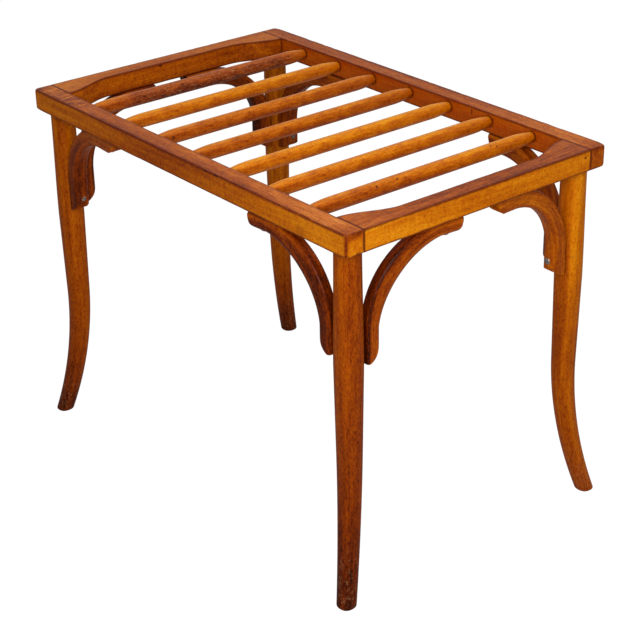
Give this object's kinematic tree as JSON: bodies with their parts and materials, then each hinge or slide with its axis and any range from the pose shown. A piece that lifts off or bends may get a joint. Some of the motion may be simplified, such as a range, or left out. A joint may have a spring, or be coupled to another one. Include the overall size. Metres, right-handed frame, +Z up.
{
  "type": "luggage rack",
  "caption": "Bentwood luggage rack: round bars between flat rails make a slatted top, on splayed sabre legs tied to the rails by quarter-bend corner braces.",
  "frame": {"origin": "on the floor, under the middle of the rack", "axes": "+X along the side rails, +Y from the front rail to the rear rail, +Z up"},
  "size_m": [0.68, 0.4454, 0.5],
  "materials": {
    "rail": "amber varnished beech, worn at the edges",
    "bar": "amber varnished beech, turned",
    "leg": "amber varnished beech, darker at the feet",
    "brace": "red-brown varnished beech, steam-bent",
    "screw": "dull, round slotted head"
  },
  "bodies": {
    "root": {"bar_1": "bar", "bar_2": "bar", "bar_3": "bar", "bar_4": "bar", "bar_5": "bar", "bar_6": "bar", "bar_7": "bar", "brace_front_right_side": "brace", "brace_front_right_end": "brace", "brace_front_left_side": "brace", "brace_front_left_end": "brace", "brace_rear_right_side": "brace", "brace_rear_right_end": "brace", "brace_rear_left_side": "brace", "brace_rear_left_end": "brace", "end_rail_left": "rail", "end_rail_right": "rail", "leg_front_right": "leg", "leg_front_left": "leg", "leg_rear_right": "leg", "leg_rear_left": "leg", "leg_screw_front_right_side": "screw", "leg_screw_front_right_end": "screw", "leg_screw_front_left_side": "screw", "leg_screw_front_left_end": "screw", "leg_screw_rear_right_side": "screw", "leg_screw_rear_right_end": "screw", "leg_screw_rear_left_side": "screw", "leg_screw_rear_left_end": "screw", "rail_screw_front_right_side": "screw", "rail_screw_front_right_end": "screw", "rail_screw_front_left_side": "screw", "rail_screw_front_left_end": "screw", "rail_screw_rear_right_side": "screw", "rail_screw_rear_right_end": "screw", "rail_screw_rear_left_side": "screw", "rail_screw_rear_left_end": "screw", "side_rail_front": "rail", "side_rail_rear": "rail"}
  },
  "joints": []
}
